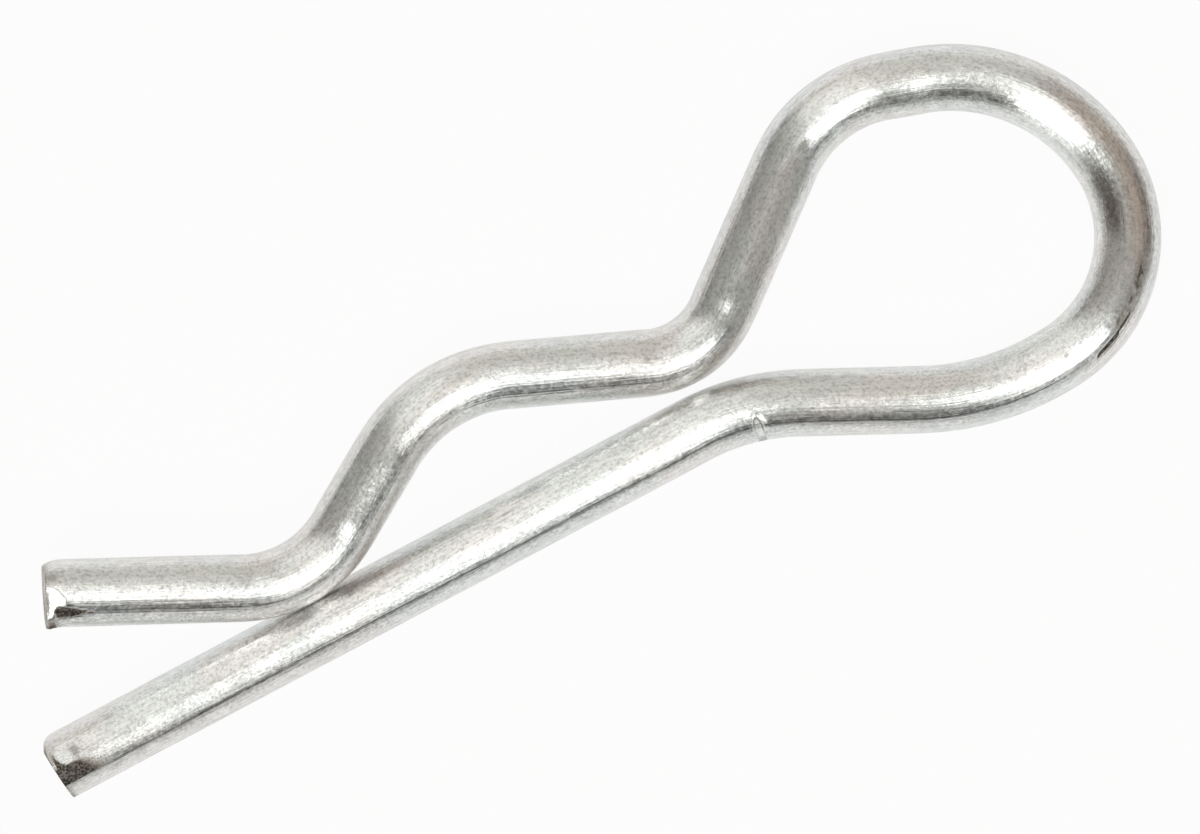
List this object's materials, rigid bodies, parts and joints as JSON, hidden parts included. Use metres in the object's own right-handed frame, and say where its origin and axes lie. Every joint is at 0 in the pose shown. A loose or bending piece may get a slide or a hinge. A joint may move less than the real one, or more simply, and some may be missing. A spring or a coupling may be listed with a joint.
{
  "type": "r-clip",
  "caption": "R-clip bent from round steel wire: a straight pin leg, a finger loop, and a sprung wavy leg whose seat hugs the outside of a cross-drilled shaft.",
  "frame": {"origin": "on the pin leg's axis, at the centre of the shaft that the clip locks", "axes": "+X along the pin leg towards the finger loop, +Y towards the sprung leg, +Z along the locked shaft, up from the face that the clip lies on"},
  "size_m": [0.0737, 0.0233, 0.0075],
  "materials": {
    "zinc_plated_steel": "bright zinc plate over drawn spring wire, with fine drawing grain and sheared ends"
  },
  "bodies": {
    "root": {"r_clip": "zinc_plated_steel"}
  },
  "joints": []
}
